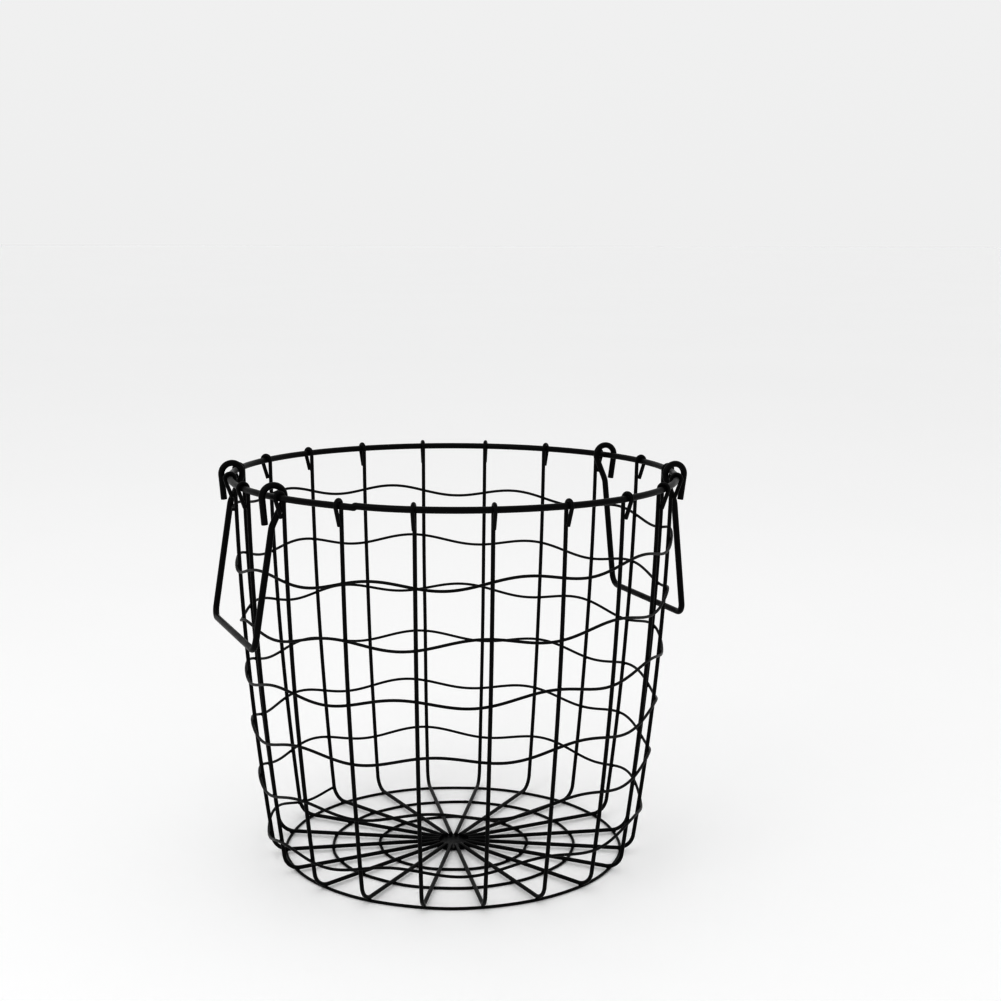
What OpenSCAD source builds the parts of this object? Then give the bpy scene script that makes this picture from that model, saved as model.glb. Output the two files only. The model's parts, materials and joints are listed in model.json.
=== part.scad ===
// Round wire basket with two swing handles. Millimetres, +Z up.
// The origin is on the floor under the centre of the basket. The handles hang at -X and +X.

/* [Rim] */
// Radius of the rim, to the middle of its wire
rim_radius = 143; // [130:1:160]
// Height of the rim above the floor, to the middle of its wire
rim_height = 250; // [220:1:280]
// Thickness of the rim wire
rim_wire = 4; // [3.6:0.1:4.4]

/* [Ribs] */
// Number of ribs round the basket
rib_count = 20; // [20:1:20]
// Thickness of a rib wire
rib_wire = 2.5; // [2.2:0.1:2.8]
// Most that a rib is turned from even spacing, as the ribs crowd a little at the sides
rib_crowding = 0.6; // [0:0.1:0.8]
// Radius of the floor of the basket, where the walls would meet it if they had no bend
floor_radius = 118.5; // [110:0.5:124]
// How far the middle of a rib's wall leg bows outward from a straight line
wall_bow = 4; // [2:0.5:6]
// Radius of the bend from the floor into the wall, to the middle of the wire
bend_radius = 11; // [8:0.5:14]
// Length of the straight tail that closes a rib's hook under the rim
hook_tail = 12; // [8:0.5:12.5]
// Lean of a hook's tail back toward its rib
hook_lean = 20; // [18:1:22]

/* [Wavy wire] */
// Thickness of the wavy wire and of the floor rings
wave_wire = 1.8; // [1.6:0.1:2.2]
// Height at which the wavy wire starts
wave_top = 230; // [226:1:232]
// Drop of the wavy wire in one turn round the basket
wave_pitch = 35.5; // [34:0.5:36]
// Height of each wave, from its middle line
wave_height = 3; // [0:0.5:4]
// Length of one wave along the wire
wave_length = 89.6; // [80:0.1:100]
// How far the whole coil leans down at the back and up at the front
wave_lean = 3.5; // [0:0.5:4]

/* [Floor] */
// Radius of the innermost floor ring
ring_inner = 49; // [40:1:56]
// Distance from one floor ring to the next
ring_step = 31; // [26:1:31]
// Radius of the disc that the inner ends of the ribs are welded to
disc_radius = 14; // [12:0.5:18]
// Thickness of that disc
disc_thick = 1.2; // [1:0.1:1.5]

/* [Handles] */
// Thickness of the handle wire
handle_wire = 4; // [3.6:0.1:4.2]
// Angle round the rim from the middle of a handle to each of its loops
loop_angle = 21; // [20:0.5:22]
// Radius of a loop, to the middle of its wire
loop_radius = 6.8; // [6.6:0.1:7]
// Length of the tail that ends a loop
loop_tail = 16; // [12:0.5:16.5]
// Slope of a leg where it passes out under the rim
leg_slope = 23; // [22:0.5:24]
// Length of that sloping stretch
leg_slope_length = 16.5; // [16:0.5:18]
// Depth of the grip bar below the rim
handle_drop = 93; // [90:1:100]
// How far the grip bar hangs outside the line through the two loops
handle_stand = 8; // [7.5:0.5:12]
// Radius of the corners between the legs and the grip bar
corner_radius = 7; // [7:0.5:14]
// How far the left handle stands swung out from where the right one hangs
left_swing = 3; // [0:0.5:6]

/* [Hidden] */

$fn = 32;
BLACK = [0.06, 0.06, 0.065];
DARK = [0.10, 0.10, 0.11];

// Welded wires sink into each other by this much
weld = 0.12;
// Angles round the basket are from the middle of the right handle, anticlockwise seen from above.
// front is the angle of the basket's front, and rib_first of the first rib.
front = 249;
rib_first = 6;
rib_pitch = 360 / rib_count;
// Distance of a spoke's inner end from the middle
spoke_end = 9.6;
// A sleeve over each place where two stretches of a bent wire meet
sleeve_length = 0.5;
sleeve_rise = 0.04;

// A rib lies in one upright plane, drawn here as [distance from the middle, height].
rib_floor_z = wave_wire + rib_wire / 2 - weld;
hook_radius = (rim_wire + rib_wire) / 2 - weld;
leg_top = [rim_radius - hook_radius, rim_height];
leg_foot = [floor_radius, rib_floor_z];
leg_chord = norm(leg_top - leg_foot);
// The bowed wall leg is an arc through its foot and its top
bow_radius = leg_chord * leg_chord / (8 * wall_bow) + wall_bow / 2;
bow_across = [leg_top[1] - leg_foot[1], leg_foot[0] - leg_top[0]] / leg_chord;
bow_centre = (leg_top + leg_foot) / 2 - (bow_radius - wall_bow) * bow_across;
bow_top_angle = asin((leg_top[1] - bow_centre[1]) / bow_radius);
// The bend touches the floor line and the inside of the bowed leg
bend_z = rib_floor_z + bend_radius;
bend_r = bow_centre[0] + sqrt(pow(bow_radius - bend_radius, 2) - pow(bend_z - bow_centre[1], 2));
bend_angle = asin((bend_z - bow_centre[1]) / (bow_radius - bend_radius));

// The wavy wire is one coil on the outside of the ribs. It starts at the tenth rib
// and runs clockwise, seen from above, as it goes down.
wave_start = rib_first + 9 * rib_pitch;
wave_spans = 123;
spans_per_turn = rib_count;
rings_per_span = 5;
wave_sides = 8;
wave_out = (rib_wire + wave_wire) / 2 - weld;
// The waves and the lean set in gradually, over these many degrees from the wire's start
wave_fade_in = 36;
lean_fade_in = 90;
top_run = rim_radius;
run_loss = (rim_radius - floor_radius) / (2 * rim_height) * wave_pitch / 360;

// Handle profile in an upright plane: [outward from the hinge, up from the hinge]
hinge_x = rim_radius * cos(loop_angle);
handle_half = rim_radius * sin(loop_angle);
tail_angle = -8;
leg_start = -loop_radius * [cos(leg_slope), sin(leg_slope)];
knee = leg_start + leg_slope_length * [sin(leg_slope), -cos(leg_slope)];
leg_rise = handle_drop + knee[1];
leg_lean = atan((handle_stand - knee[0]) / leg_rise);
leg_length = leg_rise / cos(leg_lean);
knee_radius = 14;
knee_trim = knee_radius * tan((leg_slope - leg_lean) / 2);

// Angle of a rib round the basket
function rib_angle(i) =
    let (a = rib_first + (i - 1) * rib_pitch)
    a + rib_crowding * sin(2 * (a - front));

// Radius of a rib's wall leg at height z
function wall_r(z) = bow_centre[0] + sqrt(pow(bow_radius, 2) - pow(z - bow_centre[1], 2));

// Distance along the wavy wire after u degrees
function wave_run(u) = (top_run * u - run_loss * u * u) * PI / 180;

// Height of the wavy wire after u degrees
function wave_z(u) =
    wave_top - wave_pitch * u / 360
    + wave_lean * cos(wave_start - u - front) * min(1, u / lean_fade_in)
    + wave_height * sin(360 * wave_run(u) / wave_length) * min(1, u / wave_fade_in);

// Point on the middle of the wavy wire after u degrees
function wave_point(u) =
    let (z = wave_z(u), a = wave_start - u, r = wave_r(z))
    [r * cos(a), r * sin(a), z];

// The wavy wire's radius at height z: outside the wall leg, or round its bend
function wave_r(z) =
    z > bend_z ? wall_r(z) + wave_out
    : bend_r + sqrt(pow(bend_radius + wave_out, 2) - pow(bend_z - z, 2));

// One ring of points round the wavy wire after u degrees
function wave_ring(u) =
    let (a = wave_start - u, p = wave_point(u), t = wave_point(u + 0.5) - wave_point(u - 0.5),
        along = t / norm(t), out = [cos(a), sin(a), 0], up = cross(along, out),
        side = cross(up / norm(up), along))
    [for (k = [0:wave_sides - 1]) let (b = 360 * (k + 0.5) / wave_sides)
        p + wave_wire / 2 * (cos(b) * side + sin(b) * up / norm(up))];

// Round wire between two points of the XZ plane
module straight(p, q, d) {
    v = q - p;
    translate([p[0], 0, p[1]])
        rotate([0, atan2(v[0], v[1]), 0])
            cylinder(h = norm(v), d = d);
}

// Sleeve a hair wider than the wire, which bridges two stretches where they meet.
// slope is the wire's angle from upright.
module sleeve(p, slope, d) {
    translate([p[0], 0, p[1]])
        rotate([0, slope, 0])
            cylinder(h = sleeve_length, d = d + sleeve_rise, center = true);
}

// Round wire bent to an arc in the XZ plane, with angles from +X toward +Z
module bent(centre, radius, from, to, d) {
    translate([centre[0], 0, centre[1]])
        rotate([90, 0, 0])
            rotate_extrude(start = from, angle = to - from, $fn = radius > 100 ? 720 : 90)
                translate([radius, 0])
                    circle(d = d, $fn = 32);
}

// Closed ring of wire that lies flat
module ring(radius, z, d) {
    translate([0, 0, z])
        rotate_extrude($fn = 180)
            translate([radius, 0])
                circle(d = d, $fn = 32);
}

module rim_ring() {
    color(BLACK)
        ring(rim_radius, rim_height, rim_wire);
}

// One rib: floor spoke, bend, bowed wall leg, hook over the rim and tail
module rib(i) {
    tail_from = [rim_radius, rim_height] + hook_radius * [cos(hook_lean), -sin(hook_lean)];
    tail_to = tail_from - hook_tail * [sin(hook_lean), cos(hook_lean)];
    bend_end = bow_centre + bow_radius * [cos(bend_angle), sin(bend_angle)];
    color(BLACK)
        rotate([0, 0, rib_angle(i)])
            union() {
                straight([spoke_end, rib_floor_z], [bend_r, rib_floor_z], rib_wire);
                bent([bend_r, bend_z], bend_radius, -90, bend_angle, rib_wire);
                bent(bow_centre, bow_radius, bend_angle, bow_top_angle, rib_wire);
                bent([rim_radius, rim_height], hook_radius, -hook_lean, 180, rib_wire);
                straight(tail_from, tail_to, rib_wire);
                sleeve([bend_r, rib_floor_z], 90, rib_wire);
                sleeve(bend_end, -bend_angle, rib_wire);
                sleeve(leg_top, -bow_top_angle, rib_wire);
                sleeve(tail_from, hook_lean, rib_wire);
            }
}

// One turn of the wavy wire; the last turn runs on to the end of the wire
module wave_turn(n) {
    first = (n - 1) * spans_per_turn;
    last = n == 6 ? wave_spans : n * spans_per_turn;
    rings = (last - first) * rings_per_span;
    step = rib_pitch / rings_per_span;
    points = [for (k = [0:rings]) each wave_ring(first * rib_pitch + k * step)];
    sides = [for (k = [0:rings - 1], j = [0:wave_sides - 1])
        let (m = (j + 1) % wave_sides, a = k * wave_sides, b = a + wave_sides)
        [a + j, b + j, b + m, a + m]];
    start_cap = [for (j = [0:wave_sides - 1]) j];
    end_cap = [for (j = [wave_sides - 1:-1:0]) rings * wave_sides + j];
    color(DARK)
        polyhedron(points = points, faces = concat([start_cap, end_cap], sides), convexity = 8);
}

module base_ring(n) {
    color(DARK)
        ring(ring_inner + n * ring_step, wave_wire / 2, wave_wire);
}

// Disc under the inner ends of the ribs
module centre_disc() {
    color(DARK)
        translate([0, 0, rib_floor_z - rib_wire / 2 + weld - disc_thick])
            cylinder(h = disc_thick, r = disc_radius, $fn = 96);
}

// The loop, tail and sloping stretch at one end of a handle
module handle_end() {
    tail_from = loop_radius * [cos(tail_angle), sin(tail_angle)];
    knee_from = knee - knee_trim * [sin(leg_slope), -cos(leg_slope)];
    knee_centre = knee_from - knee_radius * [cos(leg_slope), sin(leg_slope)];
    straight(tail_from, tail_from + loop_tail * [sin(tail_angle), -cos(tail_angle)], handle_wire);
    bent([0, 0], loop_radius, tail_angle, 180 + leg_slope, handle_wire);
    straight(leg_start, knee_from, handle_wire);
    bent(knee_centre, knee_radius, leg_lean, leg_slope, handle_wire);
    sleeve(tail_from, -tail_angle, handle_wire);
    sleeve(leg_start, -leg_slope, handle_wire);
    sleeve(knee_from, -leg_slope, handle_wire);
    sleeve(knee + knee_trim * [sin(leg_lean), -cos(leg_lean)], -leg_lean, handle_wire);
}

// Legs and grip bar: one flat U that leans outward by leg_lean
module handle_grip() {
    corner_y = handle_half - corner_radius;
    corner_z = corner_radius - leg_length;
    translate([knee[0], 0, knee[1]])
        rotate([0, -leg_lean, 0]) {
            for (s = [-1, 1])
                translate([0, s * handle_half, corner_z])
                    cylinder(h = -knee_trim - corner_z, d = handle_wire);
            for (s = [0, 1])
                mirror([0, s, 0])
                    translate([0, corner_y, corner_z]) {
                        rotate([90, 0, 90])
                            rotate_extrude(start = -90, angle = 90, $fn = 96)
                                translate([corner_radius, 0])
                                    circle(d = handle_wire, $fn = 32);
                        translate([0, corner_radius, 0])
                            cylinder(h = sleeve_length, d = handle_wire + sleeve_rise, center = true);
                        translate([0, 0, -corner_radius])
                            rotate([90, 0, 0])
                                cylinder(h = sleeve_length, d = handle_wire + sleeve_rise, center = true);
                    }
            translate([0, -corner_y, -leg_length])
                rotate([-90, 0, 0])
                    cylinder(h = 2 * corner_y, d = handle_wire);
        }
}

// A handle that hangs outside the rim on the +X side, swung out by that angle
module handle(swing) {
    color(BLACK)
        translate([hinge_x, 0, rim_height])
            rotate([0, -swing, 0])
                union() {
                    for (s = [-1, 1])
                        translate([0, s * handle_half, 0])
                            handle_end();
                    handle_grip();
                }
}

module handle_right() {
    handle(0);
}

module handle_left() {
    rotate([0, 0, 180])
        handle(left_swing);
}

rim_ring();
for (i = [1:rib_count])
    rib(i);
for (i = [1:6])
    wave_turn(i);
base_ring(0);  // base_ring_inner
base_ring(1);  // base_ring_middle
base_ring(2);  // base_ring_outer
centre_disc();
handle_left();
handle_right();
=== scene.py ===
"""Looks of a round wire basket with two swing handles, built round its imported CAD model.

Metres, +Z up, origin on the floor under the middle of the basket. Each CAD wire is shown by
a smooth swept wire on the same line, with its cut ends, its welds and its powder coat.
"""

import json
import math
import random

import bmesh
import bpy
from mathutils import Euler, Matrix, Vector, noise


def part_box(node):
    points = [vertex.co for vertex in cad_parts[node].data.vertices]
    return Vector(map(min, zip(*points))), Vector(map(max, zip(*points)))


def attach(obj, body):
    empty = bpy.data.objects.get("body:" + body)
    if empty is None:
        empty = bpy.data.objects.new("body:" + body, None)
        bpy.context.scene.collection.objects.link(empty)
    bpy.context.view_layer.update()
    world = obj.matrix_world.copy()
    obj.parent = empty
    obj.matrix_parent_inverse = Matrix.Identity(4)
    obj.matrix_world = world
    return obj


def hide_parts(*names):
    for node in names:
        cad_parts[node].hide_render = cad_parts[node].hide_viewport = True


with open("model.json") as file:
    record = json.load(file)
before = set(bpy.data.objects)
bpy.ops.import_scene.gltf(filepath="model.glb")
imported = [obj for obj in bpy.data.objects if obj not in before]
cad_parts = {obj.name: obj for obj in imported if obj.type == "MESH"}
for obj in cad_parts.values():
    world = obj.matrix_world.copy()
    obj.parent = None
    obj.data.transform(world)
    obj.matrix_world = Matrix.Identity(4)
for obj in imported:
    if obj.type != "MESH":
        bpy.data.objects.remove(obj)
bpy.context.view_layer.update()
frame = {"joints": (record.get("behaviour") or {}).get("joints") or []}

MM = 0.001
rng = random.Random(20)

# What the CAD model says
rim_low, rim_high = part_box("rim_ring")
RIM_WIRE = rim_high.z - rim_low.z
RIM_RADIUS = (rim_high.x - rim_low.x - RIM_WIRE) / 2
RIM_HEIGHT = (rim_high.z + rim_low.z) / 2
ring_low, ring_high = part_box("base_ring_inner")
WAVE_WIRE = ring_high.z - ring_low.z
disc_low, disc_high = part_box("centre_disc")
HINGE_X = max(joint["pos_m"][0] for joint in frame["joints"])

# Lines of the wires, by the same names as in the CAD source
RIB_COUNT = 20
RIB_PITCH = 360 / RIB_COUNT
RIB_FIRST = 6
RIB_CROWDING = 0.6
RIB_WIRE = 2.5 * MM
FLOOR_RADIUS = 118.5 * MM
WALL_BOW = 4 * MM
BEND_RADIUS = 11 * MM
HOOK_TAIL = 12 * MM
HOOK_LEAN = 20
SPOKE_END = 9.6 * MM
WELD = 0.12 * MM
WAVE_TOP = 230 * MM
WAVE_PITCH = 35.5 * MM
WAVE_HEIGHT = 3 * MM
WAVE_LENGTH = 89.6 * MM
WAVE_LEAN = 3.5 * MM
WAVE_START = RIB_FIRST + 9 * RIB_PITCH
WAVE_TURNING = 2214
WAVE_FADE_IN = 36
LEAN_FADE_IN = 90
FRONT = 249
HANDLE_WIRE = 4 * MM
LOOP_RADIUS = 6.8 * MM
LOOP_TAIL = 16 * MM
TAIL_ANGLE = -8
LEG_SLOPE = 23
LEG_SLOPE_LENGTH = 16.5 * MM
HANDLE_DROP = 93 * MM
HANDLE_STAND = 8 * MM
CORNER_RADIUS = 7 * MM
KNEE_RADIUS = 14 * MM
SWINGS = {"left": 3, "right": 0}

# How far a cut end's edge is rounded
CUT_EDGE = 0.3 * MM

# The rim's butt weld, with half the step at it, and the floor rings' welds, as angles round the basket
RIM_WELD_ANGLE = 225.7
RIM_WELD_STEP = -0.45 * MM
RING_WELD_ANGLES = {"base_ring_inner": 40, "base_ring_middle": 63, "base_ring_outer": 22}
RING_WELD_STEP = 0.08 * MM
RING_STRAY = 0.5 * MM

# Camera: where it stands, how it is turned in degrees, and its lens
CAMERA_DISTANCE = 1.0719
CAMERA_HEIGHT = 0.4053
CAMERA_DOWN = 9.15
CAMERA_ASIDE = 1.61
CAMERA_ROLL = 0.34
LENS_MM = 60.27
SENSOR_MM = 36

# Brightness of the white surroundings, level and overhead
GLOW_LEVEL = 0.615
GLOW_OVERHEAD = 0.66
FLOOR_REACH = 40


def sin(degrees):
    """Sine of an angle in degrees."""
    return math.sin(math.radians(degrees))


def cos(degrees):
    """Cosine of an angle in degrees."""
    return math.cos(math.radians(degrees))


# A rib's line in its own upright plane, as distances from the middle axis and heights. The wall
# leg is an arc through its foot and its top, and the bend touches the floor line and that arc.
rib_floor_z = WAVE_WIRE + RIB_WIRE / 2 - WELD
hook_radius = (RIM_WIRE + RIB_WIRE) / 2 - WELD
leg_top = Vector((RIM_RADIUS - hook_radius, RIM_HEIGHT))
leg_foot = Vector((FLOOR_RADIUS, rib_floor_z))
leg_chord = (leg_top - leg_foot).length
bow_radius = leg_chord ** 2 / (8 * WALL_BOW) + WALL_BOW / 2
bow_across = Vector((leg_top.y - leg_foot.y, leg_foot.x - leg_top.x)) / leg_chord
bow_centre = (leg_top + leg_foot) / 2 - (bow_radius - WALL_BOW) * bow_across
bow_top_angle = math.degrees(math.asin((leg_top.y - bow_centre.y) / bow_radius))
bend_z = rib_floor_z + BEND_RADIUS
bend_r = bow_centre.x + math.sqrt((bow_radius - BEND_RADIUS) ** 2 - (bend_z - bow_centre.y) ** 2)
bend_angle = math.degrees(math.asin((bend_z - bow_centre.y) / (bow_radius - BEND_RADIUS)))
wave_out = (RIB_WIRE + WAVE_WIRE) / 2 - WELD


# ---------------------------------------------------------------- lines

def polar(radius, angle, z):
    """Point at that distance from the middle axis, angle round it and height."""
    return Vector((radius * cos(angle), radius * sin(angle), z))


def arc(centre, radius, start, stop, step):
    """Points of an arc in a plane, from start to stop degrees."""
    count = max(2, math.ceil(abs(stop - start) / step))
    angles = [start + (stop - start) * k / count for k in range(count + 1)]
    return [centre + radius * Vector((cos(a), sin(a))) for a in angles]


def segment(start, stop, step):
    """Points of a straight line, without its two ends."""
    count = max(2, math.ceil((stop - start).length / step))
    return [start.lerp(stop, k / count) for k in range(1, count)]


def wander(seed, reach):
    """A smooth sideways drift along a wire, as bending by machine and hand leaves it."""
    draw = random.Random(seed)
    waves = [(draw.uniform(0.6, 1), draw.uniform(20, 60), draw.uniform(0, 6.3)) for _ in range(3)]
    return lambda s: reach * sum(a * math.sin(k * s + p) for a, k, p in waves) / len(waves)


def out_of_round(seed, reach):
    """How far a ring strays from a true circle at an angle, as bending and welding leave it."""
    draw = random.Random(seed)
    lobes = [(n, draw.uniform(0.5, 1), draw.uniform(0, 360)) for n in (2, 5, 9, 13)]
    return lambda angle: reach * sum(size * sin(n * angle + phase) for n, size, phase in lobes) / 2


def rib_angle(number):
    """Angle of a rib round the basket. The ribs crowd a little at the sides."""
    angle = RIB_FIRST + (number - 1) * RIB_PITCH
    return angle + RIB_CROWDING * sin(2 * (angle - FRONT))


def wall_r(z):
    """Distance of a rib's wall leg from the middle axis at height z."""
    return bow_centre.x + math.sqrt(bow_radius ** 2 - (z - bow_centre.y) ** 2)


def wave_r(z):
    """Distance of the wavy wire from the middle axis at height z."""
    if z > bend_z:
        return wall_r(z) + wave_out
    return bend_r + math.sqrt((BEND_RADIUS + wave_out) ** 2 - (bend_z - z) ** 2)


def wave_z(u):
    """Height of the wavy wire after u degrees."""
    run_loss = (RIM_RADIUS - FLOOR_RADIUS) / (2 * RIM_HEIGHT) * WAVE_PITCH / 360
    run = (RIM_RADIUS * u - run_loss * u * u) * math.pi / 180
    z = WAVE_TOP - WAVE_PITCH * u / 360
    z += WAVE_LEAN * cos(WAVE_START - u - FRONT) * min(1, u / LEAN_FADE_IN)
    z += WAVE_HEIGHT * sin(360 * run / WAVE_LENGTH) * min(1, u / WAVE_FADE_IN)
    return z


def wave_point(u):
    """Point on the middle of the wavy wire after u degrees."""
    z = wave_z(u)
    return polar(wave_r(z), WAVE_START - u, z)


# ---------------------------------------------------------------- meshes

class Shape:
    """Points and faces that grow wire by wire, with how worn each point is and how far it faces up,
    which sets its dust and the painted highlight on its top.
    """

    def __init__(self):
        self.points, self.faces, self.wear, self.dust_and_painted_highlight = [], [], [], []

    def add(self, points, faces, wear, dust_and_painted_highlight):
        first = len(self.points)
        self.points += points
        self.faces += [[first + k for k in face] for face in faces]
        self.wear += wear
        self.dust_and_painted_highlight += dust_and_painted_highlight


def tangents(path, closed):
    """Direction of a path at each of its points."""
    last = len(path) - 1
    found = []
    for k in range(len(path)):
        before = path[k - 1] if closed or k else path[0]
        after = path[(k + 1) % len(path)] if closed or k < last else path[last]
        found.append((after - before).normalized())
    return found


def eased_ends(path, radii, ease):
    """Adds the stations that round the edge of a cut end by ease, at both ends of a wire."""
    steps = 4
    out = []
    for at, inner, r in ((path[0], path[1], radii[0]), (path[-1], path[-2], radii[-1])):
        way = (inner - at).normalized()
        angles = [90 * k / steps for k in range(steps + 1)]
        out.append([(at + way * ease * (1 - cos(a)), r - ease + ease * sin(a)) for a in angles])
    stations = out[0] + list(zip(path[1:-1], radii[1:-1])) + out[1][::-1]
    return [s[0] for s in stations], [s[1] for s in stations]


def sweep(shape, path, radii, side, sides, closed=False, worn=None):
    """Round wire along a path. side is a direction across its start; worn(point, outward) is 0 to 1."""
    if not closed:
        path, radii = eased_ends(path, radii, CUT_EDGE)
    points, wear, dust_and_painted_highlight = [], [], []
    for at, radius, along in zip(path, radii, tangents(path, closed)):
        side = (side - side.dot(along) * along).normalized()
        up = along.cross(side)
        for j in range(sides):
            outward = cos(360 * j / sides) * side + sin(360 * j / sides) * up
            points.append(at + radius * outward)
            wear.append(worn(at, outward) if worn else 0.0)
            # Upward faces get the dust mask, which lightens them both as dust and as a painted highlight
            # on the tops.
            dust_and_painted_highlight.append(max(0.0, outward.z) ** 2)
    count = len(path)
    faces = []
    for k in range(count if closed else count - 1):
        a, b = k * sides, (k + 1) % count * sides
        for j in range(sides):
            m = (j + 1) % sides
            faces.append([a + j, a + m, b + m, b + j])
    if not closed:
        faces.append(list(range(sides))[::-1])
        faces.append([(count - 1) * sides + j for j in range(sides)])
    shape.add(points, faces, wear, dust_and_painted_highlight)


def ball_template():
    """Points and faces of a round ball, which every weld is shaped from."""
    ball = bmesh.new()
    bmesh.ops.create_icosphere(ball, subdivisions=3, radius=1)
    points = [v.co.copy() for v in ball.verts]
    faces = [[v.index for v in f.verts] for f in ball.faces]
    ball.free()
    return points, faces


BALL = ball_template()


def weld(shape, at, axes, sizes):
    """A lump of weld metal: half sizes along three axes, uneven, and never the same twice."""
    place = Vector((rng.uniform(0, 99), rng.uniform(0, 99), rng.uniform(0, 99)))
    grow = rng.uniform(0.92, 1.08)
    points = []
    for p in BALL[0]:
        lump = grow * (1 + 0.16 * noise.noise(p * 1.3 + place) + 0.07 * noise.noise(p * 3.1 + place))
        points.append(at + sum((a * s * c * lump for a, s, c in zip(axes, sizes, p)), Vector()))
    # Top of a weld gets the same dust mask: dust and a painted highlight, as on the wires.
    dust_and_painted_highlight = [max(0.0, (p - at).normalized().z) ** 2 for p in points]
    shape.add(points, BALL[1], [0.0] * len(points), dust_and_painted_highlight)


def finish_piece(shape, name, material, body, nodes=()):
    """Makes the shape a smooth piece that rides on a body and stands for CAD nodes."""
    mesh = bpy.data.meshes.new(name)
    mesh.from_pydata(shape.points, [], shape.faces)
    for label, values in (("wear", shape.wear), ("dust_and_painted_highlight", shape.dust_and_painted_highlight)):
        mesh.attributes.new(label, "FLOAT", "POINT").data.foreach_set("value", values)
    mesh.shade_smooth()
    mesh.set_sharp_from_angle(angle=math.radians(50))
    mesh.materials.append(material)
    piece = bpy.data.objects.new(name, mesh)
    bpy.context.scene.collection.objects.link(piece)
    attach(piece, body)
    if nodes:
        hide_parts(*nodes)
    return piece


# ---------------------------------------------------------------- materials

class Nodes:
    """Short calls for building a node material."""

    def __init__(self, name):
        self.material = bpy.data.materials.new(name)
        self.material.use_nodes = True
        self.tree = self.material.node_tree
        self.shader = self.tree.nodes["Principled BSDF"]
        self.coords = self.tree.nodes.new("ShaderNodeTexCoord").outputs["Object"]

    def link(self, output, socket):
        self.tree.links.new(output, socket)

    def noise(self, scale, detail=2.0, roughness=0.5):
        node = self.tree.nodes.new("ShaderNodeTexNoise")
        node.inputs["Scale"].default_value = scale
        node.inputs["Detail"].default_value = detail
        node.inputs["Roughness"].default_value = roughness
        self.link(self.coords, node.inputs["Vector"])
        return node.outputs["Fac"]

    def ramp(self, value, low, high, start=0.0, end=1.0):
        """value from low to high becomes start to end."""
        node = self.tree.nodes.new("ShaderNodeMapRange")
        self.link(value, node.inputs["Value"])
        limits = {"From Min": low, "From Max": high, "To Min": start, "To Max": end}
        for socket, number in limits.items():
            node.inputs[socket].default_value = number
        return node.outputs["Result"]

    def attribute(self, name):
        node = self.tree.nodes.new("ShaderNodeAttribute")
        node.attribute_name = name
        return node.outputs["Fac"]

    def math(self, operation, a, b):
        node = self.tree.nodes.new("ShaderNodeMath")
        node.operation = operation
        for value, socket in ((a, node.inputs[0]), (b, node.inputs[1])):
            if isinstance(value, (int, float)):
                socket.default_value = value
            else:
                self.link(value, socket)
        return node.outputs["Value"]

    def mix_colour(self, share, a, b):
        node = self.tree.nodes.new("ShaderNodeMix")
        node.data_type = "RGBA"
        self.link(share, node.inputs["Factor"])
        colours = [s for s in node.inputs if s.type == "RGBA"]
        for value, socket in zip((a, b), colours):
            if isinstance(value, tuple):
                socket.default_value = (*value, 1)
            else:
                self.link(value, socket)
        return [s for s in node.outputs if s.type == "RGBA"][0]

    def bump(self, height, strength, distance, under=None):
        node = self.tree.nodes.new("ShaderNodeBump")
        node.inputs["Strength"].default_value = strength
        node.inputs["Distance"].default_value = distance
        self.link(height, node.inputs["Height"])
        if under:
            self.link(under, node.inputs["Normal"])
        return node.outputs["Normal"]


def powder_coat(name, shade, gloss_low, gloss_high):
    """Black semi-gloss powder coat on steel wire: orange peel, fine grain, dust with a painted highlight
    on upward faces, and rubbed places.
    """
    n = Nodes(name)
    patches = n.ramp(n.noise(38, 3), 0.35, 0.65)
    speckle = n.ramp(n.noise(1500, 2), 0.4, 0.7)
    deep = (shade * 0.6, shade * 0.6, shade * 0.64)
    soft = (shade * 1.5, shade * 1.5, shade * 1.6)
    coat = n.mix_colour(n.math("MULTIPLY", patches, speckle), deep, soft)
    # Lighter, rougher coat on upward faces: dust, and a painted highlight where light falls on the tops.
    dust_and_painted_highlight = n.math("MULTIPLY", n.attribute("dust_and_painted_highlight"), n.ramp(n.noise(160, 4, 0.6), 0.45, 0.75, 0, 0.35))
    coat_with_dust_and_highlight = n.mix_colour(dust_and_painted_highlight, coat, (0.016, 0.0155, 0.015))
    rub = n.math("MULTIPLY", n.attribute("wear"), n.ramp(n.noise(700, 4, 0.65), 0.3, 0.6, 0.35, 1))
    n.link(n.mix_colour(rub, coat_with_dust_and_highlight, (0.022, 0.022, 0.023)), n.shader.inputs["Base Color"])
    gloss = n.ramp(n.noise(90, 3), 0.3, 0.7, gloss_low, gloss_high)
    gloss = n.math("ADD", gloss, n.math("MULTIPLY", dust_and_painted_highlight, 0.25))
    gloss = n.math("SUBTRACT", gloss, n.math("MULTIPLY", rub, 0.14))
    n.link(gloss, n.shader.inputs["Roughness"])
    peel = n.bump(n.noise(520, 2), 0.35, 0.16 * MM)
    grain = n.bump(n.noise(2600, 2), 0.25, 0.03 * MM, peel)
    n.link(grain, n.shader.inputs["Normal"])
    n.shader.inputs["Specular IOR Level"].default_value = 0.12
    return n.material


def floor_material():
    """Matt white board, with the faintest unevenness."""
    n = Nodes("floor_white")
    tone = n.mix_colour(n.noise(1.2, 4), (0.94, 0.94, 0.94), (0.96, 0.96, 0.96))
    n.link(tone, n.shader.inputs["Base Color"])
    n.link(n.ramp(n.noise(6, 3), 0.3, 0.7, 0.6, 0.75), n.shader.inputs["Roughness"])
    n.link(n.bump(n.noise(900, 2), 0.1, 0.05 * MM), n.shader.inputs["Normal"])
    n.shader.inputs["Specular IOR Level"].default_value = 0.5
    return n.material


# ---------------------------------------------------------------- camera, light and floor

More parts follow.
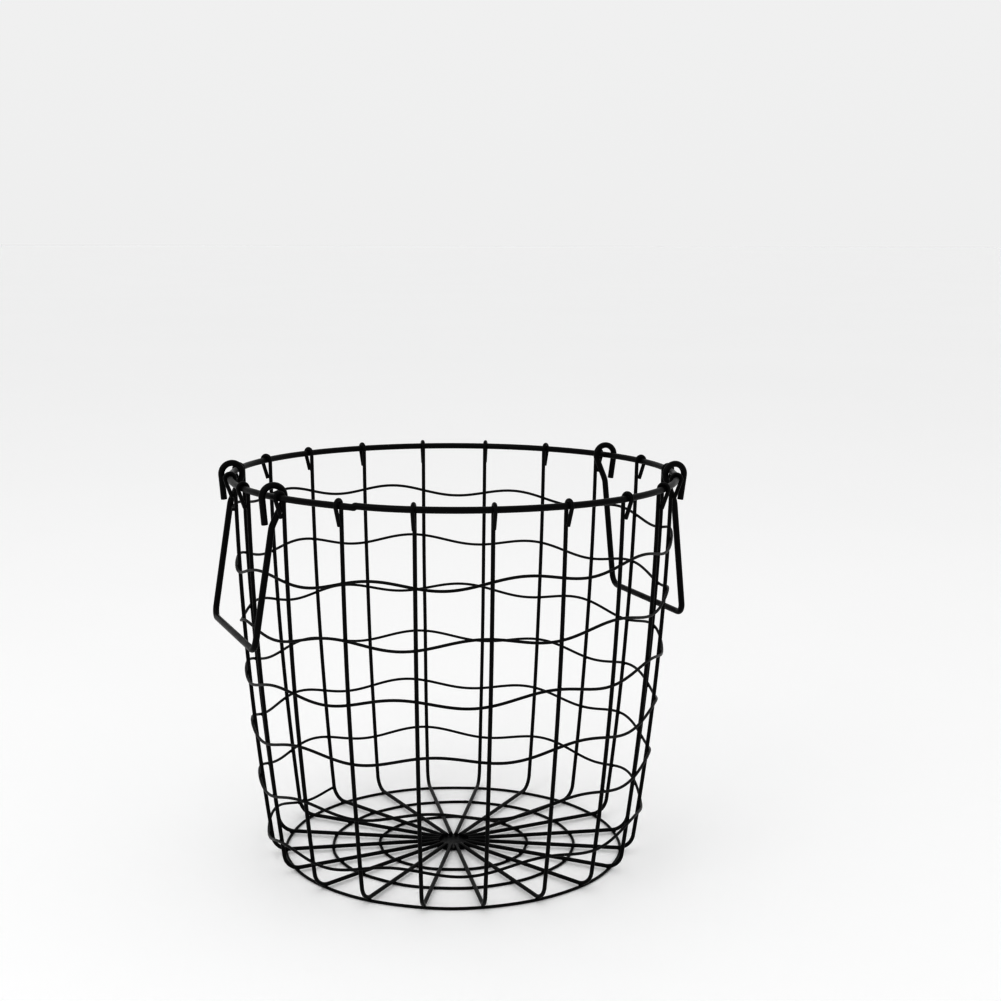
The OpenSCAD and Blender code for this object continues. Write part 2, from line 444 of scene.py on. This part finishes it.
def add_camera():
    """Camera at the viewing angle: in front of the basket and a little above its rim."""
    data = bpy.data.cameras.new("camera")
    data.lens = LENS_MM
    data.sensor_width = SENSOR_MM
    data.clip_start = 0.02
    camera = bpy.data.objects.new("camera", data)
    bpy.context.scene.collection.objects.link(camera)
    camera.location = polar(CAMERA_DISTANCE, FRONT, CAMERA_HEIGHT)
    yaw = FRONT - 180 - 90 - CAMERA_ASIDE
    look = Euler((math.radians(90 - CAMERA_DOWN), 0, math.radians(yaw))).to_matrix()
    roll = Matrix.Rotation(math.radians(CAMERA_ROLL), 3, "Z")
    camera.rotation_euler = (look @ roll).to_euler()
    bpy.context.scene.camera = camera


def add_light(name, place, target, size, power):
    """Square soft light that faces the target."""
    data = bpy.data.lights.new(name, "AREA")
    data.shape = "SQUARE"
    data.size = size
    data.energy = power
    light = bpy.data.objects.new(name, data)
    light.location = place
    light.rotation_euler = (Vector(target) - Vector(place)).to_track_quat("-Z", "Y").to_euler()
    bpy.context.scene.collection.objects.link(light)


def add_world():
    """White surroundings, a little brighter overhead, so that the floor runs into them unseen."""
    world = bpy.data.worlds.new("studio")
    world.use_nodes = True
    tree = world.node_tree
    direction = tree.nodes.new("ShaderNodeTexCoord").outputs["Generated"]
    split = tree.nodes.new("ShaderNodeSeparateXYZ")
    rise = tree.nodes.new("ShaderNodeMapRange")
    rise.inputs["To Min"].default_value = GLOW_LEVEL
    rise.inputs["To Max"].default_value = GLOW_OVERHEAD
    background = tree.nodes["Background"]
    background.inputs["Color"].default_value = (1, 1, 1, 1)
    tree.links.new(direction, split.inputs["Vector"])
    tree.links.new(split.outputs["Z"], rise.inputs["Value"])
    tree.links.new(rise.outputs["Result"], background.inputs["Strength"])
    bpy.context.scene.world = world
    bpy.context.scene.view_settings.view_transform = "Standard"
    bpy.context.scene.view_settings.look = "High Contrast"


def add_floor():
    """Plain floor, wide enough to run out of sight on every side."""
    mesh = bpy.data.meshes.new("floor")
    corners = [(x * FLOOR_REACH, y * FLOOR_REACH, 0) for x, y in ((-1, -1), (1, -1), (1, 1), (-1, 1))]
    mesh.from_pydata(corners, [], [[0, 1, 2, 3]])
    mesh.materials.append(floor_material())
    floor = bpy.data.objects.new("floor", mesh)
    bpy.context.scene.collection.objects.link(floor)


# ---------------------------------------------------------------- the basket

def hinge_places():
    """The four places where a handle's loops hang on the rim."""
    half = math.sqrt(RIM_RADIUS ** 2 - HINGE_X ** 2)
    return [Vector((x, y, RIM_HEIGHT)) for x in (-HINGE_X, HINGE_X) for y in (-half, half)]


def rim_wear(at, outward):
    """The rim is rubbed on top, where the loops turn on it."""
    nearest = min((at - place).length for place in hinge_places())
    return math.exp(-(nearest / (2.6 * MM)) ** 2) * max(0.0, outward.z + 0.35) / 1.35


def ring_path(radius, z, weld_angle, step_size, count):
    """A closed ring whose two ends meet with a small step, and the bead that joins them, 0 to 1."""
    path, radii = [], []
    for k in range(count):
        angle = weld_angle + 180 - 360 * k / count
        s = math.radians(weld_angle - angle) * radius
        step = step_size * math.tanh(s / (0.35 * MM)) * math.exp(-abs(s) / (11 * MM))
        path.append(polar(radius - 0.5 * step, angle, z + step))
        radii.append(math.exp(-(s / (0.9 * MM)) ** 2))
    return path, radii


def build_rim(material):
    """The rim, thicker by a bead where its ends are welded."""
    shape = Shape()
    path, bead = ring_path(RIM_RADIUS, RIM_HEIGHT, RIM_WELD_ANGLE, RIM_WELD_STEP, 1800)
    radii = [RIM_WIRE / 2 * (1 + 0.09 * b) for b in bead]
    sweep(shape, path, radii, Vector((0, 0, 1)), 28, closed=True, worn=rim_wear)
    finish_piece(shape, "rim_wire_ring", material, "basket", ["rim_ring"])


def rib_profile(draw):
    """A rib in its own upright plane: spoke, bend, bowed leg, hook over the rim and tail."""
    rim = Vector((RIM_RADIUS, RIM_HEIGHT))
    lean = HOOK_LEAN + draw.uniform(-0.8, 0.8)
    tail_from = rim + hook_radius * Vector((cos(lean), -sin(lean)))
    tail_to = tail_from - (HOOK_TAIL + draw.uniform(-0.9, 0.2) * MM) * Vector((sin(lean), cos(lean)))
    inner = Vector((SPOKE_END + draw.uniform(-0.6, 0.8) * MM, rib_floor_z))
    line = [inner, *segment(inner, Vector((bend_r, rib_floor_z)), 3 * MM)]
    line += arc(Vector((bend_r, bend_z)), BEND_RADIUS, -90, bend_angle, 5)
    line += arc(bow_centre, bow_radius, bend_angle, bow_top_angle, 0.1)[1:]
    line += arc(rim, hook_radius, 180, -lean, 6)[1:]
    line += [*segment(tail_from, tail_to, 1.5 * MM), tail_to]
    return line


def build_rib(number, material):
    """One rib, swept along its profile with a slight drift sideways."""
    shape = Shape()
    angle = rib_angle(number)
    draw = random.Random(number)
    drift = wander(number, 0.16 * MM)
    across = Vector((-sin(angle), cos(angle), 0))
    path = []
    for r, z in rib_profile(draw):
        ease = sin(180 * min(1, max(0, z / RIM_HEIGHT)))
        path.append(polar(r, angle, z) + across * drift(z) * ease)
    radii = [RIB_WIRE / 2] * len(path)
    sweep(shape, path, radii, across, 20)
    finish_piece(shape, f"rib_wire_{number:02d}", material, "basket", [f"rib_{number:02d}"])


def build_wavy_wire(material):
    """One continuous coil, from below the rim at the back to the bend at the floor."""
    shape = Shape()
    drift = wander(3, 0.08 * MM)
    path = []
    for u in range(WAVE_TURNING + 1):
        path.append(wave_point(u) + Vector((0, 0, drift(RIM_RADIUS * math.radians(u)))))
    radii = [WAVE_WIRE / 2] * len(path)
    sweep(shape, path, radii, Vector((0, 0, 1)), 14)
    turns = [f"wave_turn_{n}" for n in range(1, 7)]
    finish_piece(shape, "wavy_wire_coil", material, "basket", turns)


def build_floor_ring(node, material):
    """One ring under the spokes, and gives its radius."""
    shape = Shape()
    low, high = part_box(node)
    radius = (high.x - low.x - WAVE_WIRE) / 2
    path, bead = ring_path(radius, WAVE_WIRE / 2, RING_WELD_ANGLES[node], RING_WELD_STEP, 720)
    radii = [WAVE_WIRE / 2 * (1 + 0.12 * b) for b in bead]
    stray = out_of_round(node, RING_STRAY)
    angles = [math.degrees(math.atan2(p.y, p.x)) for p in path]
    path = [p + polar(stray(a), a, max(0, r - p.z)) for p, r, a in zip(path, radii, angles)]
    sweep(shape, path, radii, Vector((0, 0, 1)), 16, closed=True)
    name = node.replace("base_ring", "floor_ring") + "_wire"
    finish_piece(shape, name, material, "basket", [node])
    return radius


def disc_profile():
    """Stamped disc with rolled edges and a shallow dimple, as distances from the axis and heights."""
    radius, top = disc_high.x, disc_high.z
    low = disc_low.z
    edge = 0.45 * MM
    dimple, depth = 6.5 * MM, 0.35 * MM
    upper = [Vector((dimple * k / 8, top - depth * (1 + cos(180 * k / 8)) / 2)) for k in range(9)]
    upper += segment(Vector((dimple, top)), Vector((radius - edge, top)), 1.5 * MM)
    upper += arc(Vector((radius - edge, top - edge)), edge, 90, 0, 18)
    lower = arc(Vector((radius - edge, low + edge)), edge, 0, -90, 18)
    lower += segment(Vector((radius - edge, low)), Vector((dimple, low)), 1.5 * MM)
    lower += [Vector((dimple * k / 8, low)) for k in range(8, -1, -1)]
    return upper + lower


def build_disc(material):
    """The disc under the inner ends of the spokes, turned from its profile."""
    shape = Shape()
    profile = disc_profile()
    around = 96
    points = [polar(r, 360 * j / around, z) for r, z in profile[1:-1] for j in range(around)]
    faces = []
    for k in range(len(profile) - 3):
        for j in range(around):
            m = (j + 1) % around
            a, b = k * around, (k + 1) * around
            faces.append([a + j, b + j, b + m, a + m])
    top, bottom = len(points), len(points) + 1
    points += [Vector((0, 0, profile[0].y)), Vector((0, 0, profile[-1].y))]
    last = (len(profile) - 3) * around
    faces += [[top, j, (j + 1) % around] for j in range(around)]
    faces += [[bottom, last + (j + 1) % around, last + j] for j in range(around)]
    # Top face of the disc gets the full dust mask: dust and a painted highlight.
    dust_and_painted_highlight = [1.0 if p.z > disc_high.z - 0.5 * MM else 0.0 for p in points]
    shape.add(points, faces, [0.0] * len(points), dust_and_painted_highlight)
    finish_piece(shape, "centre_disc_plate", material, "basket", ["centre_disc"])


def build_wall_welds(material):
    """The small lump of fused metal and coat where the wavy wire crosses each rib."""
    shape = Shape()
    up = Vector((0, 0, 1))
    turnings = [(WAVE_START - rib_angle(number)) % 360 for number in range(1, RIB_COUNT + 1)]
    crossings = [u + 360 * turn for turn in range(7) for u in turnings if u + 360 * turn < WAVE_TURNING]
    for u in crossings:
        z = wave_z(u)
        angle = WAVE_START - u
        out, across = polar(1, angle, 0), polar(1, angle + 90, 0)
        at = polar(wave_r(z) - wave_out + RIB_WIRE / 2 - WELD, angle, z)
        weld(shape, at, (out, across, up), (0.62 * MM, 1.3 * MM, 1.15 * MM))
    finish_piece(shape, "wall_welds", material, "basket")


def build_floor_welds(radii, material):
    """Welds between the spokes and the floor rings, and along the spokes' ends on the disc."""
    shape = Shape()
    up = Vector((0, 0, 1))
    for number in range(1, RIB_COUNT + 1):
        angle = rib_angle(number)
        out, across = polar(1, angle, 0), polar(1, angle + 90, 0)
        for radius in radii:
            at = polar(radius, angle, WAVE_WIRE - WELD)
            weld(shape, at, (out, across, up), (1.1 * MM, 1.2 * MM, 0.55 * MM))
        at = polar(disc_high.x - 1.6 * MM, angle, disc_high.z)
        weld(shape, at, (out, across, up), (1.3 * MM, 1.45 * MM, 0.5 * MM))
    finish_piece(shape, "floor_welds", material, "basket")


def build_hook_welds(material):
    """Welds that hold each hook to the rim, inside and outside, and its tail to the rib."""
    shape = Shape()
    rim = Vector((RIM_RADIUS, RIM_HEIGHT))
    for number in range(1, RIB_COUNT + 1):
        angle = rib_angle(number)
        across = polar(1, angle + 90, 0)
        for around, wide in ((150, 1.35), (35, 1.3)):
            r, z = rim + RIM_WIRE / 2 * Vector((cos(around), sin(around)))
            out = polar(cos(around), angle, sin(around))
            along = out.cross(across)
            weld(shape, polar(r, angle, z), (out, across, along), (0.5 * MM, wide * MM, 1.6 * MM))
        z = RIM_HEIGHT - hook_radius * sin(HOOK_LEAN) - (HOOK_TAIL - 1.4 * MM) * cos(HOOK_LEAN)
        at = polar(wall_r(z) + RIB_WIRE / 2, angle, z)
        weld(shape, at, (polar(1, angle, 0), across, Vector((0, 0, 1))), (0.6 * MM, 1.15 * MM, 1.5 * MM))
    finish_piece(shape, "hook_welds", material, "basket")


# ---------------------------------------------------------------- the handles

def handle_end():
    """Loop, tail and leg at one end of a handle, in an upright plane through its hinge."""
    leg_start = -LOOP_RADIUS * Vector((cos(LEG_SLOPE), sin(LEG_SLOPE)))
    knee = leg_start + LEG_SLOPE_LENGTH * Vector((sin(LEG_SLOPE), -cos(LEG_SLOPE)))
    rise = HANDLE_DROP + knee.y
    lean = math.degrees(math.atan((HANDLE_STAND - knee.x) / rise))
    trim = KNEE_RADIUS * math.tan(math.radians(LEG_SLOPE - lean) / 2)
    knee_from = knee - trim * Vector((sin(LEG_SLOPE), -cos(LEG_SLOPE)))
    knee_centre = knee_from - KNEE_RADIUS * Vector((cos(LEG_SLOPE), sin(LEG_SLOPE)))
    down = Vector((sin(lean), -cos(lean)))
    tail_from = LOOP_RADIUS * Vector((cos(TAIL_ANGLE), sin(TAIL_ANGLE)))
    tail_to = tail_from + LOOP_TAIL * Vector((sin(TAIL_ANGLE), -cos(TAIL_ANGLE)))
    line = [tail_to, *segment(tail_to, tail_from, 2 * MM)]
    line += arc(Vector((0, 0)), LOOP_RADIUS, TAIL_ANGLE, 180 + LEG_SLOPE, 5)
    line += segment(leg_start, knee_from, 2 * MM)
    line += arc(knee_centre, KNEE_RADIUS, LEG_SLOPE, lean, 3)
    leg_end = knee + (rise / cos(lean) - CORNER_RADIUS) * down
    line += segment(knee + trim * down, leg_end, 2.5 * MM)
    return line, leg_end, down


def handle_path(side, swing):
    """The whole handle from tail to tail, on the +X side or the -X side, swung out by an angle."""
    half = math.sqrt(RIM_RADIUS ** 2 - HINGE_X ** 2)
    line, leg_end, down = handle_end()
    first = [Vector((x, half, z)) for x, z in line]
    corner = []
    for across, along in arc(Vector((0, 0)), CORNER_RADIUS, 0, 90, 5):
        x, z = leg_end + along * down
        corner.append(Vector((x, half - CORNER_RADIUS + across, z)))
    first += corner
    second = [Vector((p.x, -p.y, p.z)) for p in reversed(first)]
    path = first + segment(first[-1], second[0], 2.5 * MM) + second
    turn = Matrix.Rotation(math.radians(-swing), 3, "Y")
    path = [turn @ p + Vector((HINGE_X, 0, RIM_HEIGHT)) for p in path]
    return [Vector((side * p.x, side * p.y, p.z)) for p in path]


def loop_wear(at, outward):
    """A loop is rubbed inside its top, where it turns on the rim."""
    place = min(hinge_places(), key=lambda p: (at - p).length)
    inward = place - at
    near = math.exp(-((inward.length - LOOP_RADIUS) / (1.5 * MM)) ** 2)
    top = max(0.0, (at.z - place.z) / LOOP_RADIUS)
    return near * top * max(0.0, outward.dot(inward.normalized())) ** 2


def build_handle(name, side, material):
    """One handle, from tail to tail."""
    shape = Shape()
    path = handle_path(side, SWINGS[name])
    radii = [HANDLE_WIRE / 2] * len(path)
    sweep(shape, path, radii, Vector((0, 1, 0)), 28, worn=loop_wear)
    piece, body, node = f"{name}_handle_wire", f"{name}_handle", f"handle_{name}"
    finish_piece(shape, piece, material, body, [node])


add_camera()
add_world()
add_light("key", (-1.5, -0.9, 1.7), (0, 0, 0.1), 1.1, 5.5)
add_light("top", (-0.2, -0.2, 2.0), (0, 0, 0), 1.4, 1)
add_light("fill", (1.5, -0.8, 1.0), (0, 0, 0.12), 1.2, 0.5)
add_floor()

rim_coat = powder_coat("powder_coat_rim", 0.003, 0.3, 0.4)
rib_coat = powder_coat("powder_coat_ribs", 0.003, 0.33, 0.44)
wave_coat = powder_coat("powder_coat_wavy_wire", 0.0034, 0.34, 0.46)
floor_coat = powder_coat("powder_coat_floor_wires", 0.0034, 0.36, 0.48)
handle_coat = powder_coat("powder_coat_handles", 0.003, 0.3, 0.4)

build_rim(rim_coat)
for rib_number in range(1, RIB_COUNT + 1):
    build_rib(rib_number, rib_coat)
build_wavy_wire(wave_coat)
ring_radii = [build_floor_ring(node, floor_coat) for node in RING_WELD_ANGLES]
build_disc(floor_coat)
build_wall_welds(wave_coat)
build_floor_welds(ring_radii, floor_coat)
build_hook_welds(rib_coat)
build_handle("right", 1, handle_coat)
build_handle("left", -1, handle_coat)
